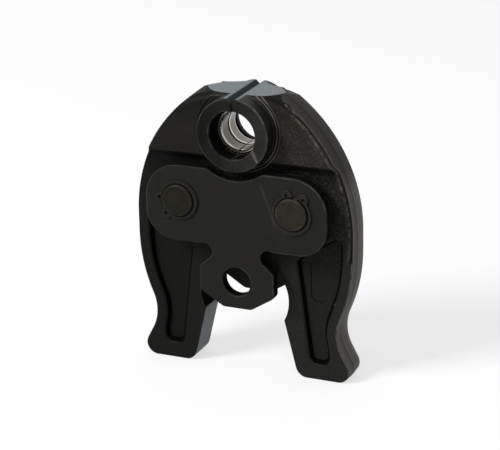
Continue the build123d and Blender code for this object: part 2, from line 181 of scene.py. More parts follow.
class SpringShape(bpy.types.PropertyGroup):
    """Sizes and finish of the return springs."""

    wire: length_setting("Wire", "Thickness of the spring wire", 1.8 * MM)
    mean_radius: length_setting("Mean radius", "Radius of the coil at the middle of the wire", 13.2 * MM)
    turns: bpy.props.FloatProperty(
        name="Turns",
        description="Turns of the coil between its two legs",
        default=2.5,
    )
    pitch: length_setting("Pitch", "How far the coil climbs to the rear in one turn", 2.53 * MM)
    start: length_setting("Start", "How far behind the middle plane the coil starts", 2.09 * MM)
    leg: length_setting("Leg", "Length of each straight leg", 11.0 * MM)
    colour: colour_setting("Spring wire", "Colour of the drawn spring wire", "#6b6a66")


class StageSetup(bpy.types.PropertyGroup):
    """Camera, light and floor."""

    azimuth: bpy.props.FloatProperty(
        name="Azimuth",
        description="How far the camera stands to the right of the front",
        subtype="ANGLE",
        default=math.radians(23.86),
    )
    elevation: bpy.props.FloatProperty(
        name="Elevation",
        description="How far the camera stands above the horizon",
        subtype="ANGLE",
        default=math.radians(20.11),
    )
    roll: bpy.props.FloatProperty(
        name="Roll",
        description="Turn of the picture about the line of sight",
        subtype="ANGLE",
        default=math.radians(-1.18),
    )
    distance: length_setting("Distance", "Distance of the camera from the point that it looks at", 0.9)
    aim_right: length_setting("Aim right", "How far the camera looks to the right of the bore", 6.32 * MM)
    aim_up: length_setting("Aim up", "How far the camera looks above the bore", 26.28 * MM)
    lens: bpy.props.FloatProperty(
        name="Lens",
        description="Focal length on a sensor 36 mm wide, in millimetres",
        unit="CAMERA",
        default=140.74,
    )
    key_place: bpy.props.FloatVectorProperty(
        name="Softbox place",
        description="Where the softbox stands",
        subtype="TRANSLATION",
        size=3,
        default=(-1.0, -1.15, 1.3),
    )
    key_size: length_setting("Softbox size", "Side of the square softbox", 0.6)
    key_power: bpy.props.FloatProperty(
        name="Softbox power",
        description="Power of the softbox in watts",
        unit="POWER",
        default=24.0,
    )
    fill: bpy.props.FloatProperty(
        name="Fill light",
        description="Strength of the soft light from all round",
        default=0.42,
    )
    floor: colour_setting("Floor", "Colour of the plain pale floor", "#b4b4b4")
    floor_glow: bpy.props.FloatProperty(
        name="Floor white",
        description="How much of the floor's white is seen whatever shadow lies on it",
        subtype="FACTOR",
        default=0.65,
    )


def add(tree, kind, inputs=None, **settings):
    """Adds a node with its settings; an input is a value, a socket or a node's first live output."""
    node = tree.nodes.new(kind)
    for name, value in settings.items():
        setattr(node, name, value)
    for name, value in (inputs or {}).items():
        if isinstance(value, bpy.types.Node):
            value = next(socket for socket in value.outputs if socket.enabled)
        if isinstance(value, bpy.types.NodeSocket):
            tree.links.new(value, node.inputs[name])
        else:
            node.inputs[name].default_value = value
    return node


def new_material(name, **constants):
    """A material with a Principled shader, with constants set on the shader's own sockets."""
    material = bpy.data.materials.new(name)
    material.use_nodes = True
    tree = material.node_tree
    tree.nodes.clear()
    shader = add(tree, "ShaderNodeBsdfPrincipled")
    for socket, value in constants.items():
        shader.inputs[socket.replace("_", " ")].default_value = value
    add(tree, "ShaderNodeOutputMaterial", {"Surface": shader})
    return material, tree, shader


def feed(tree, shader, sources):
    """Links the first live output of each source to a socket of the shader."""
    for socket, source in sources.items():
        tree.links.new(next(out for out in source.outputs if out.enabled), shader.inputs[socket])


def edge_wear(tree, width, patch):
    """A mask along sharp edges: width is how far it reaches and patch the size of its breaks."""
    place = add(tree, "ShaderNodeTexCoord")
    geometry = add(tree, "ShaderNodeNewGeometry")
    rounded = add(tree, "ShaderNodeBevel", {"Radius": width}, samples=4)
    turn = add(
        tree,
        "ShaderNodeVectorMath",
        {0: rounded, 1: geometry.outputs["Normal"]},
        operation="DOT_PRODUCT",
    )
    edge = add(
        tree,
        "ShaderNodeMapRange",
        {"Value": turn.outputs["Value"], "From Min": 0.995, "From Max": 0.88},
    )
    breaks = add(
        tree,
        "ShaderNodeTexNoise",
        {"Vector": place.outputs["Object"], "Scale": 1 / patch, "Detail": 3.0},
    )
    share = add(
        tree,
        "ShaderNodeMapRange",
        {"Value": breaks, "From Min": 0.38, "From Max": 0.68, "To Min": 0.15, "To Max": 1.0},
    )
    return add(tree, "ShaderNodeMath", {0: edge, 1: share}, operation="MULTIPLY")


def distance_from_axis(tree, place, centre):
    """Distance from a line along Y through a centre, measured in the XZ plane."""
    offset = add(tree, "ShaderNodeVectorMath", {0: place, 1: centre}, operation="SUBTRACT")
    flat = add(tree, "ShaderNodeVectorMath", {0: offset, 1: (1, 0, 1)}, operation="MULTIPLY")
    length = add(tree, "ShaderNodeVectorMath", {0: flat}, operation="LENGTH")
    return length.outputs["Value"]


def rub_mark(tree, place, start, end, width):
    """A soft streak from a start to an end on a face, as wide as the width each side of its line."""
    start, run = Vector(start), Vector(end) - Vector(start)
    offset = add(tree, "ShaderNodeVectorMath", {0: place, 1: start}, operation="SUBTRACT")
    walked = add(tree, "ShaderNodeVectorMath", {0: offset, 1: run}, operation="DOT_PRODUCT")
    share = add(
        tree,
        "ShaderNodeMath",
        {0: walked.outputs["Value"], 1: 1 / run.length_squared},
        operation="MULTIPLY",
        use_clamp=True,
    )
    nearest = add(tree, "ShaderNodeVectorMath", {0: run, "Scale": share}, operation="SCALE")
    away = add(tree, "ShaderNodeVectorMath", {0: offset, 1: nearest}, operation="DISTANCE")
    streak = add(
        tree,
        "ShaderNodeMapRange",
        {"Value": away.outputs["Value"], "From Min": width, "From Max": 0.2 * width},
    )
    breaks = add(tree, "ShaderNodeTexNoise", {"Vector": place, "Scale": 1 / (1.5 * MM), "Detail": 3.0})
    return add(tree, "ShaderNodeMath", {0: streak, 1: breaks}, operation="MULTIPLY")


def stripe(tree, value, middle, width):
    """A soft-edged mask of the values within a width on either side of a middle."""
    off = add(tree, "ShaderNodeMath", {0: value, 1: middle}, operation="SUBTRACT")
    off = add(tree, "ShaderNodeMath", {0: off}, operation="ABSOLUTE")
    return add(tree, "ShaderNodeMapRange", {"Value": off, "From Min": width, "From Max": 0.4 * width})


def dress(names, material):
    """Gives CAD nodes a finished material."""
    for name in names:
        for slot in frame["nodes"][name].material_slots:
            slot.material = material


def turning_marks(tree, radius, pitch):
    """Waves about an axis, like a lathe's marks but coarser; pitch is the way from one to the next."""
    waves = add(tree, "ShaderNodeMath", {0: radius, 1: 2 * math.pi / pitch}, operation="MULTIPLY")
    return add(tree, "ShaderNodeMath", {0: waves}, operation="SINE")


def jaw_places(tree):
    """Measures of a point on a jaw half: where it lies and how its face is turned."""
    coordinates = add(tree, "ShaderNodeTexCoord")
    place = coordinates.outputs["Object"]
    normal = coordinates.outputs["Normal"]
    signed = add(tree, "ShaderNodeSeparateXYZ", {0: place})
    mirrored = add(tree, "ShaderNodeVectorMath", {0: place}, operation="ABSOLUTE").outputs["Vector"]
    across = add(tree, "ShaderNodeSeparateXYZ", {0: mirrored})
    facing = add(tree, "ShaderNodeVectorMath", {0: normal}, operation="ABSOLUTE")
    facing = add(tree, "ShaderNodeSeparateXYZ", {0: facing})
    upright = add(tree, "ShaderNodeMath", {0: facing.outputs["Y"], 1: 0.3}, operation="LESS_THAN")
    return {
        "place": place,
        "mirrored": mirrored,
        "normal": normal,
        "x": signed.outputs["X"],
        "y": signed.outputs["Y"],
        "offset": across.outputs["X"],
        "depth": across.outputs["Y"],
        "height": across.outputs["Z"],
        "sideways": facing.outputs["X"],
        "frontal": facing.outputs["Y"],
        "upright": upright,
        "radius": distance_from_axis(tree, place, (0, 0, PRESS_HEIGHT)),
        "crown_way": distance_from_axis(tree, mirrored, CROWN_CENTRE),
    }


def ring_zones(tree, at):
    """Masks of the turned ring, which stands proud of the web, the spot face below it and the crown."""
    radius, depth = at["radius"], at["depth"]
    near_ring = add(tree, "ShaderNodeMath", {0: radius, 1: RING_RADIUS + 2 * MARGIN}, operation="LESS_THAN")
    proud = add(tree, "ShaderNodeMath", {0: depth, 1: SPOT_FACE}, operation="GREATER_THAN")
    ring = add(tree, "ShaderNodeMath", {0: near_ring, 1: proud}, operation="MULTIPLY")
    near_spot = add(tree, "ShaderNodeMath", {0: radius, 1: SPOT_RADIUS + MARGIN}, operation="LESS_THAN")
    sunk = add(tree, "ShaderNodeMath", {0: depth, 1: SPOT_FACE + MARGIN / 2}, operation="LESS_THAN")
    spot = add(tree, "ShaderNodeMath", {0: near_spot, 1: sunk}, operation="MULTIPLY")
    turned = add(tree, "ShaderNodeMath", {0: ring, 1: spot}, operation="MAXIMUM")
    crown = add(
        tree,
        "ShaderNodeMath",
        {0: at["height"], 1: CROWN_HEIGHT - MARGIN},
        operation="GREATER_THAN",
    )
    return {"ring": ring, "spot": spot, "turned": turned, "crown": crown}


def contour_zones(tree, at):
    """Masks of the bare press contour, of the sawn slot and of the hollows painted black for their shade."""
    radius, offset, height = at["radius"], at["offset"], at["height"]
    # The lands and lips of the press contour are bare but for the groove between the lands
    bare = add(tree, "ShaderNodeMath", {0: radius, 1: LAND_RADIUS + BARE_REACH}, operation="LESS_THAN")
    groove = add(tree, "ShaderNodeMath", {0: at["depth"], 1: GROOVE_REACH}, operation="LESS_THAN")
    land = add(tree, "ShaderNodeMath", {0: bare, 1: groove}, operation="SUBTRACT", use_clamp=True)

    # The mouth, the throat and the split are hollows painted black for their shade; the rear end of the mouth is
    # painted lighter where light reaches its wall
    mouth = add(tree, "ShaderNodeMath", {0: radius, 1: MOUTH_RADIUS + 0.25 * MM}, operation="LESS_THAN")
    rear = add(tree, "ShaderNodeMath", {0: at["y"], 1: REAR_MOUTH}, operation="GREATER_THAN")
    lit_rear_mouth = add(tree, "ShaderNodeMath", {0: mouth, 1: rear}, operation="MULTIPLY")
    gap = add(tree, "ShaderNodeMath", {0: offset, 1: SPLIT_GAP + MARGIN}, operation="LESS_THAN")
    upper = add(tree, "ShaderNodeMath", {0: height, 1: PRESS_HEIGHT}, operation="GREATER_THAN")
    gap = add(tree, "ShaderNodeMath", {0: gap, 1: upper}, operation="MULTIPLY")
    reach = distance_from_axis(tree, at["mirrored"], THROAT_CENTRE)
    throat = add(tree, "ShaderNodeMath", {0: reach, 1: THROAT_REACH}, operation="LESS_THAN")
    chamfered = SPLIT_GAP + SPLIT_CHAMFER + 1.5 * MARGIN
    beside = add(tree, "ShaderNodeMath", {0: offset, 1: chamfered}, operation="LESS_THAN")
    shade_black = add(tree, "ShaderNodeMath", {0: throat, 1: beside}, operation="MAXIMUM")
    shade_black = add(tree, "ShaderNodeMath", {0: shade_black, 1: at["upright"]}, operation="MULTIPLY")
    for mask in (mouth, gap):
        shade_black = add(tree, "ShaderNodeMath", {0: shade_black, 1: mask}, operation="MAXIMUM")

    # The top of the split shows where it was sawn
    slot = add(tree, "ShaderNodeMapRange", {"Value": height, "From Min": 129 * MM, "From Max": 131 * MM})
    for mask in (beside, at["upright"]):
        slot = add(tree, "ShaderNodeMath", {0: slot, 1: mask}, operation="MULTIPLY")
    return {"land": land, "lit_rear_mouth": lit_rear_mouth, "slot": slot, "shade_black": shade_black}


def wall_zones(tree, at):
    """Masks of the milled ramp and sole, of the outline's outer side and of the outer wall."""
    height, offset, upright = at["height"], at["offset"], at["upright"]
    slope = add(tree, "ShaderNodeMath", {0: height, 1: RAMP_SLOPE, 2: offset}, operation="MULTIPLY_ADD")
    ramp = add(tree, "ShaderNodeMath", {0: slope, 1: RAMP_FOOT + RAMP_REACH}, operation="LESS_THAN")
    low = add(tree, "ShaderNodeMath", {0: height, 1: RAMP_TOP}, operation="LESS_THAN")
    for mask in (low, upright):
        ramp = add(tree, "ShaderNodeMath", {0: ramp, 1: mask}, operation="MULTIPLY")
    sole = add(tree, "ShaderNodeMath", {0: height, 1: MARGIN}, operation="LESS_THAN")
    milled = add(tree, "ShaderNodeMath", {0: ramp, 1: sole}, operation="MAXIMUM")

    # The outer side follows the crown's arc down to the waist, then the waist's hollow arc and the toe
    outside = add(tree, "ShaderNodeMath", {0: at["crown_way"], 1: CROWN_REACH}, operation="GREATER_THAN")
    above = add(tree, "ShaderNodeMath", {0: height, 1: WAIST_TOP}, operation="GREATER_THAN")
    outside = add(tree, "ShaderNodeMath", {0: outside, 1: above}, operation="MULTIPLY")
    waist_way = distance_from_axis(tree, at["mirrored"], WAIST_CENTRE)
    waist = add(tree, "ShaderNodeMath", {0: waist_way, 1: WAIST_REACH}, operation="LESS_THAN")
    far = add(tree, "ShaderNodeMath", {0: offset, 1: TOE_START}, operation="GREATER_THAN")
    toe = add(tree, "ShaderNodeMath", {0: height, 1: TOE_HEIGHT}, operation="LESS_THAN")
    toe = add(tree, "ShaderNodeMath", {0: toe, 1: far}, operation="MULTIPLY")
    for mask in (waist, toe):
        outside = add(tree, "ShaderNodeMath", {0: outside, 1: mask}, operation="MAXIMUM")
    wall = add(tree, "ShaderNodeMath", {0: outside, 1: upright}, operation="MULTIPLY")
    return {"milled": milled, "outside": outside, "wall": wall}


def pocket_zones(tree, at):
    """The painted shade with the walls of the pockets added, painted black where they turn from the front."""
    pocket = add(tree, "ShaderNodeMapRange", {"Value": at["frontal"], "From Min": 0.994, "From Max": 0.93})
    # Painted shade: a wall that faces left is black up to the rim, and one that faces right only deeper down
    turn = add(tree, "ShaderNodeVectorMath", {0: at["normal"], 1: (1, 0, 1)}, operation="MULTIPLY")
    turn = add(tree, "ShaderNodeVectorMath", {0: turn}, operation="NORMALIZE")
    turn = add(tree, "ShaderNodeSeparateXYZ", {0: turn})
    limit = add(
        tree,
        "ShaderNodeMapRange",
        {
            "Value": turn.outputs["X"],
            "From Min": -0.7,
            "From Max": 0.9,
            "To Min": ARM_FACE - 0.02 * MM,
            "To Max": ARM_FACE - 0.9 * MM,
        },
    )
    deep = add(tree, "ShaderNodeMath", {0: at["depth"], 1: limit}, operation="LESS_THAN")
    arm = add(
        tree,
        "ShaderNodeMath",
        {0: at["height"], 1: POCKET_MIDDLE, 2: POCKET_REACH},
        operation="COMPARE",
    )
    for mask in (deep, arm):
        pocket = add(tree, "ShaderNodeMath", {0: pocket, 1: mask}, operation="MULTIPLY")
    pocket = add(tree, "ShaderNodeMath", {0: pocket, 1: at["outside"]}, operation="SUBTRACT", use_clamp=True)
    return {"shade_black": add(tree, "ShaderNodeMath", {0: at["shade_black"], 1: pocket}, operation="MAXIMUM")}


def wear_and_light_zones(tree, at):
    """The outline's rounded edges, and a share that grows to the right: more wear there, and painted light from
    the right.
    """
    edge = add(tree, "ShaderNodeMath", {0: at["frontal"], 1: 0.69, 2: 0.24}, operation="COMPARE")
    sideways = add(tree, "ShaderNodeMath", {0: at["sideways"], 1: 0.25}, operation="GREATER_THAN")
    for mask in (sideways, at["outside"]):
        edge = add(tree, "ShaderNodeMath", {0: edge, 1: mask}, operation="MULTIPLY")
    # Painted light: this share grows to the right, and it also scales the wear
    rubbed = add(tree, "ShaderNodeMapRange", {"Value": at["x"], "From Min": -30 * MM, "From Max": 20 * MM})
    return {"edge": edge, "rubbed": rubbed}


def jaw_zones(tree):
    """Masks of a jaw half's surfaces by their place, and the measures that its finish depends on."""
    zones = jaw_places(tree)
    for find in (ring_zones, contour_zones, wall_zones, pocket_zones, wear_and_light_zones):
        zones.update(find(tree, zones))
    return zones


def skin_tone(tree, zones):
    """How light the cast skin is by its place, as a factor of its colour: painted light from the right, and
    painted shade on the pocket floors and in the seat's corner.
    """
    # Painted light: the skin is paler towards the right
    light_and_shade = add(tree, "ShaderNodeMapRange", {"Value": zones["rubbed"], "To Min": 0.8, "To Max": 1.5})
    # Painted shade on the floors of the pockets; the web is darker towards the top
    floor_shade = add(
        tree,
        "ShaderNodeMapRange",
        {
            "Value": zones["depth"],
            "From Min": POCKET_FLOOR + 0.2 * MM,
            "From Max": POCKET_FLOOR + 1.6 * MM,
            "To Min": 0.8,
            "To Max": 1.0,
        },
    )
    top = add(
        tree,
        "ShaderNodeMapRange",
        {"Value": zones["height"], "From Min": 119 * MM, "From Max": 129 * MM, "To Min": 1.0, "To Max": 0.6},
    )
    top = add(tree, "ShaderNodeMix", {"Factor": zones["wall"], 2: top, 3: 1.0})
    # Painted shade in the corner of the seat, below the step of the web
    seat_shade = add(
        tree,
        "ShaderNodeMapRange",
        {
            "Value": zones["height"],
            "From Min": SEAT_HEIGHT - 13 * MM,
            "From Max": SEAT_HEIGHT - 4 * MM,
            "To Max": 0.65,
        },
    )
    sunk = add(
        tree,
        "ShaderNodeMapRange",
        {"Value": zones["depth"], "From Min": WEB_FACE - 0.2 * MM, "From Max": WEB_FACE - 1.3 * MM},
    )
    seat_shade = add(tree, "ShaderNodeMath", {0: seat_shade, 1: sunk}, operation="MULTIPLY")
    unshaded = add(tree, "ShaderNodeMath", {0: 1.0, 1: seat_shade}, operation="SUBTRACT")
    for factor in (floor_shade, top, unshaded):
        light_and_shade = add(tree, "ShaderNodeMath", {0: light_and_shade, 1: factor}, operation="MULTIPLY")
    return light_and_shade


def grain_share(tree, zones):
    """How strongly the cast grain shows: least on the feet, the outer walls, the dome and the left half."""
    coarse = add(
        tree,
        "ShaderNodeMapRange",
        {"Value": zones["height"], "From Min": 45 * MM, "From Max": 78 * MM, "To Min": 0.25, "To Max": 1.0},
    )
    smooth = add(tree, "ShaderNodeMath", {0: zones["wall"], 1: 0.7}, operation="MULTIPLY")
    dome = add(
        tree,
        "ShaderNodeMapRange",
        {"Value": zones["height"], "From Min": 122 * MM, "From Max": 130 * MM, "To Max": 0.75},
    )
    smooth = add(tree, "ShaderNodeMath", {0: smooth, 1: dome}, operation="MAXIMUM")
    coarse = add(tree, "ShaderNodeMath", {0: coarse, 1: smooth}, operation="SUBTRACT", use_clamp=True)
    right = add(tree, "ShaderNodeMapRange", {"Value": zones["rubbed"], "To Min": 0.45, "To Max": 0.9})
    return add(tree, "ShaderNodeMath", {0: coarse, 1: right}, operation="MULTIPLY")


def wall_streaks(tree, zones, skin):
    """The skin with streaks along the outer walls, from dressing the mould's parting seam, painted lighter towards
    their rear edge.
    """
    bands = add(
        tree,
        "ShaderNodeTexNoise",
        {"W": zones["y"], "Scale": 1 / (2.2 * MM)},
        noise_dimensions="1D",
    )
    bands = add(
        tree,
        "ShaderNodeMapRange",
        {"Value": bands, "From Min": 0.3, "From Max": 0.7, "To Min": 0.6, "To Max": 1.5},
    )
    # Painted light: the walls are lighter towards their rear edge
    lit_rear = add(
        tree,
        "ShaderNodeMapRange",
        {"Value": zones["y"], "From Min": 4 * MM, "From Max": 8.5 * MM, "To Min": 1.0, "To Max": 1.7},
    )
    bands = add(tree, "ShaderNodeMath", {0: bands, 1: lit_rear}, operation="MULTIPLY")
    streaked = add(
        tree,
        "ShaderNodeMix",
        {"Factor": 1.0, 6: skin, 7: bands},
        data_type="RGBA",
        blend_type="MULTIPLY",
    )
    return add(tree, "ShaderNodeMix", {"Factor": zones["wall"], 6: skin, 7: streaked}, data_type="RGBA")


def cast_skin(tree, zones, finish):
    """Colour and height of the cast skin: coarse mottling, fine grains, and pale specks on rubbed grains."""
    place = zones["place"]
    mottle = add(tree, "ShaderNodeTexNoise", {"Vector": place, "Scale": 1 / (7 * MM), "Detail": 4.0})
    grains = add(tree, "ShaderNodeTexNoise", {"Vector": place, "Scale": 1 / finish.grain, "Detail": 3.0})
    above = add(
        tree,
        "ShaderNodeMath",
        {0: zones["height"], 1: SEAT_HEIGHT - 2 * MM},
        operation="GREATER_THAN",
    )
    skin = add(tree, "ShaderNodeMix", {"Factor": above, 6: finish.skin, 7: finish.web}, data_type="RGBA")
    # The outer walls take the paler colour painted for their reflected light
    skin = add(tree, "ShaderNodeMix", {"Factor": zones["wall"], 6: skin, 7: finish.wall}, data_type="RGBA")
    skin = add(
        tree,
        "ShaderNodeMix",
        {"Factor": 1.0, 6: skin, 7: skin_tone(tree, zones)},
        data_type="RGBA",
        blend_type="MULTIPLY",
    )
    dark, pale = [
        add(
            tree,
            "ShaderNodeMix",
            {"Factor": 1.0, 6: skin, 7: factor},
            data_type="RGBA",
            blend_type="MULTIPLY",
        )
        for factor in (GRAIN_DARK, GRAIN_PALE)
    ]
    coarse = grain_share(tree, zones)
    pits = add(tree, "ShaderNodeMapRange", {"Value": grains, "From Min": 0.36, "From Max": 0.66})
    pits = add(tree, "ShaderNodeMath", {0: pits, 1: mottle}, operation="MULTIPLY")
    pits = add(tree, "ShaderNodeMix", {"Factor": coarse, 2: 0.25, 3: pits})
    skin = add(tree, "ShaderNodeMix", {"Factor": pits, 6: dark, 7: pale}, data_type="RGBA")
    share = add(tree, "ShaderNodeMapRange", {"Value": zones["rubbed"], "To Min": 0.1, "To Max": 0.4})
    share = add(tree, "ShaderNodeMath", {0: share, 1: coarse}, operation="MULTIPLY")
    specks = add(
        tree,
        "ShaderNodeMapRange",
        {"Value": grains, "From Min": 0.62, "From Max": 0.74, "To Max": share},
    )
    skin = add(tree, "ShaderNodeMix", {"Factor": specks, 6: skin, 7: finish.worn}, data_type="RGBA")
    relief = add(tree, "ShaderNodeMath", {0: grains, 1: mottle}, operation="ADD")
    relief = add(tree, "ShaderNodeMath", {0: relief, 1: coarse}, operation="MULTIPLY")
    return wall_streaks(tree, zones, skin), mottle, relief


def jaw_wear(tree, zones, mottle):
    """A mask of wear and painted highlights: worn edges that also carry painted highlights, painted highlights on
    the spot facer's rings and on the ring's rim, and a rub on the ring's face.
    """
    sharp = edge_wear(tree, 0.5 * MM, 5 * MM)
    place = zones["place"]
    breaks = add(tree, "ShaderNodeTexNoise", {"Vector": place, "Scale": 1 / (3 * MM), "Detail": 4.0})
    breaks = add(
        tree,
        "ShaderNodeMapRange",
        {"Value": breaks, "From Min": 0.35, "From Max": 0.6, "To Max": 0.9},
    )
    rounded = add(tree, "ShaderNodeMath", {0: zones["edge"], 1: breaks}, operation="MULTIPLY")
    wear = add(tree, "ShaderNodeMath", {0: sharp, 1: rounded}, operation="MAXIMUM")
    # Only what stands out is rubbed, so not the floors of the pockets
    stands_out = add(
        tree,
        "ShaderNodeMath",
        {0: zones["depth"], 1: POCKET_FLOOR + 1.4 * MM},
        operation="GREATER_THAN",
    )
    # Wear, painted stronger towards the right for the light from the right
    share = add(tree, "ShaderNodeMapRange", {"Value": zones["rubbed"], "To Min": 0.25, "To Max": 1.0})
    share = add(tree, "ShaderNodeMath", {0: share, 1: zones["ring"]}, operation="MAXIMUM")
    for factor in (share, stands_out):
        wear = add(tree, "ShaderNodeMath", {0: wear, 1: factor}, operation="MULTIPLY")
    # Painted light: the facer's rings and the ring's rim are brighter towards the right
    right = add(
        tree,
        "ShaderNodeMapRange",
        {"Value": zones["x"], "From Max": 9 * MM, "To Min": 0.1, "To Max": 1.6},
    )
    for reach in FACER_HIGHLIGHTS:
        line = stripe(tree, zones["radius"], reach, 0.3 * MM)
        line = add(tree, "ShaderNodeMath", {0: line, 1: zones["spot"]}, operation="MULTIPLY")
        line = add(
            tree,
            "ShaderNodeMath",
            {0: line, 1: zones["crown"]},
            operation="SUBTRACT",
            use_clamp=True,
        )
        line = add(tree, "ShaderNodeMath", {0: line, 1: mottle}, operation="MULTIPLY")
        line = add(tree, "ShaderNodeMath", {0: line, 1: right}, operation="MULTIPLY", use_clamp=True)
        wear = add(tree, "ShaderNodeMath", {0: wear, 1: line}, operation="MAXIMUM")

    # A painted highlight on the outer rim of the ring's face, and one long rub on it
    rim_highlight = add(
        tree,
        "ShaderNodeMapRange",
        {
            "Value": zones["radius"],
            "From Min": RING_RADIUS - 0.65 * MM,
            "From Max": RING_RADIUS - 0.2 * MM,
        },
    )
    face = add(
        tree,
        "ShaderNodeMath",
        {0: zones["depth"], 1: RING_FACE - 0.8 * MM},
        operation="GREATER_THAN",
    )
    for factor in (face, breaks, right, 0.45):
        rim_highlight = add(tree, "ShaderNodeMath", {0: rim_highlight, 1: factor}, operation="MULTIPLY")
    for mark in (rub_mark(tree, place, *RING_RUB, 1.2 * MM), rim_highlight):
        wear = add(tree, "ShaderNodeMath", {0: wear, 1: mark}, operation="MAXIMUM")
    return wear


def turned_skin(tree, zones, finish, mottle):
    """Colour of the turned ring and spot face: cloudy, painted paler to the right, with painted shade below the
    ring.
    """
    clouds = add(tree, "ShaderNodeMapRange", {"Value": mottle, "To Min": 0.4, "To Max": 1.6})
    # Painted light: the ring and spot face grow paler to the right
    light_and_shade = add(
        tree,
        "ShaderNodeMapRange",
        {"Value": zones["x"], "From Min": -15 * MM, "From Max": 15 * MM, "To Min": 0.45, "To Max": 1.6},
    )
    # Painted shade below the ring, on its flank and on the spot face
    shaded_faces = add(tree, "ShaderNodeMath", {0: zones["upright"], 1: zones["spot"]}, operation="MAXIMUM")
    ring_shade = add(
        tree,
        "ShaderNodeMapRange",
        {
            "Value": zones["height"],
            "From Min": 107 * MM,
            "From Max": 127 * MM,
            "To Min": 0.15,
            "To Max": 1.0,
        },
    )
    ring_shade = add(tree, "ShaderNodeMix", {"Factor": shaded_faces, 2: 1.0, 3: ring_shade})
    for factor in (light_and_shade, ring_shade):
        clouds = add(tree, "ShaderNodeMath", {0: clouds, 1: factor}, operation="MULTIPLY")
    return add(
        tree,
        "ShaderNodeMix",
        {"Factor": 1.0, 6: finish.turned, 7: clouds},
        data_type="RGBA",
        blend_type="MULTIPLY",
    )


def dressed_edge(tree, zones):
    """Masks of the outer wall's dressed front edge: a rusty black line, and on each side a rubbed line with a
    painted highlight.
    """
    front = add(
        tree,
        "ShaderNodeMapRange",
        {
            "Value": zones["height"],
            "From Min": SEAT_HEIGHT - 2 * MM,
            "From Max": SEAT_HEIGHT + 1 * MM,
            "To Min": ARM_FACE,
            "To Max": WEB_FACE,
        },
    )
    # How far a point lies over the edge, from the front face to the wall
    over = add(tree, "ShaderNodeMath", {0: zones["y"], 1: front}, operation="ADD")
    over = add(tree, "ShaderNodeMath", {0: over, 1: zones["crown_way"]}, operation="ADD")
    over = add(tree, "ShaderNodeMath", {0: over, 1: CROWN_ARC}, operation="SUBTRACT")
    dressed = add(tree, "ShaderNodeMath", {0: zones["height"], 1: 94 * MM, 2: 34 * MM}, operation="COMPARE")
    forward = add(tree, "ShaderNodeMath", {0: zones["y"], 1: 0.0}, operation="LESS_THAN")
    dressed = add(tree, "ShaderNodeMath", {0: dressed, 1: forward}, operation="MULTIPLY")
    crease = stripe(tree, over, -0.1 * MM, 1.0 * MM)
    crease = add(tree, "ShaderNodeMath", {0: crease, 1: dressed}, operation="MULTIPLY")
    beside = add(
        tree,
        "ShaderNodeMath",
        {0: stripe(tree, over, -1.7 * MM, 0.9 * MM), 1: stripe(tree, over, 1.9 * MM, 0.9 * MM)},
        operation="MAXIMUM",
    )
    flecks = add(
        tree,
        "ShaderNodeTexNoise",
        {"Vector": zones["place"], "Scale": 1 / (2.5 * MM), "Detail": 3.0},
    )
    flecks = add(
        tree,
        "ShaderNodeMapRange",
        {"Value": flecks, "From Min": 0.35, "From Max": 0.65, "To Max": 0.6},
    )
    more = add(
        tree,
        "ShaderNodeMapRange",
        {"Value": zones["height"], "From Min": 85 * MM, "From Max": 108 * MM, "To Min": 0.4, "To Max": 1.0},
    )
    for factor in (dressed, flecks, zones["rubbed"], more):
        beside = add(tree, "ShaderNodeMath", {0: beside, 1: factor}, operation="MULTIPLY")
    return crease, beside


def contour_steel(tree, zones, finish):
    """Bare steel of the contour: a rear land painted paler for its light, painted highlights on the rims, a wall
    painted dark for its shade and then a grey lip.
    """
    rear_land_lit = add(tree, "ShaderNodeMath", {0: zones["y"], 1: 0.0}, operation="GREATER_THAN")
    steel = add(
        tree,
        "ShaderNodeMix",
        {"Factor": rear_land_lit, 6: shade(finish.bright, 0.78), 7: shade(finish.bright, 1.3)},
        data_type="RGBA",
    )
    rim_highlight = add(
        tree,
        "ShaderNodeMath",
        {0: zones["depth"], 1: LAND_END - 0.4 * MM, 2: 0.38 * MM},
        operation="COMPARE",
    )
    # A painted glint on the front edge of the rear land too
    glint = stripe(tree, zones["y"], 1.1 * MM, 0.8 * MM)
    rim_highlight = add(tree, "ShaderNodeMath", {0: rim_highlight, 1: glint}, operation="MAXIMUM")
    steel = add(tree, "ShaderNodeMix", {"Factor": rim_highlight, 6: steel, 7: finish.rim_highlight}, data_type="RGBA")
    lip = add(tree, "ShaderNodeMath", {0: zones["depth"], 1: LIP_START - MARGIN}, operation="GREATER_THAN")
    lip = add(
        tree,
        "ShaderNodeMix",
        {"Factor": lip, 6: shade(finish.bright, 0.6), 7: shade(finish.rim_highlight, 0.8)},
        data_type="RGBA",
    )
    # Painted shade: the land's end wall before the lip is dark
    end = add(tree, "ShaderNodeMath", {0: zones["depth"], 1: LAND_END - 0.02 * MM}, operation="GREATER_THAN")
    return add(tree, "ShaderNodeMix", {"Factor": end, 6: steel, 7: lip}, data_type="RGBA")


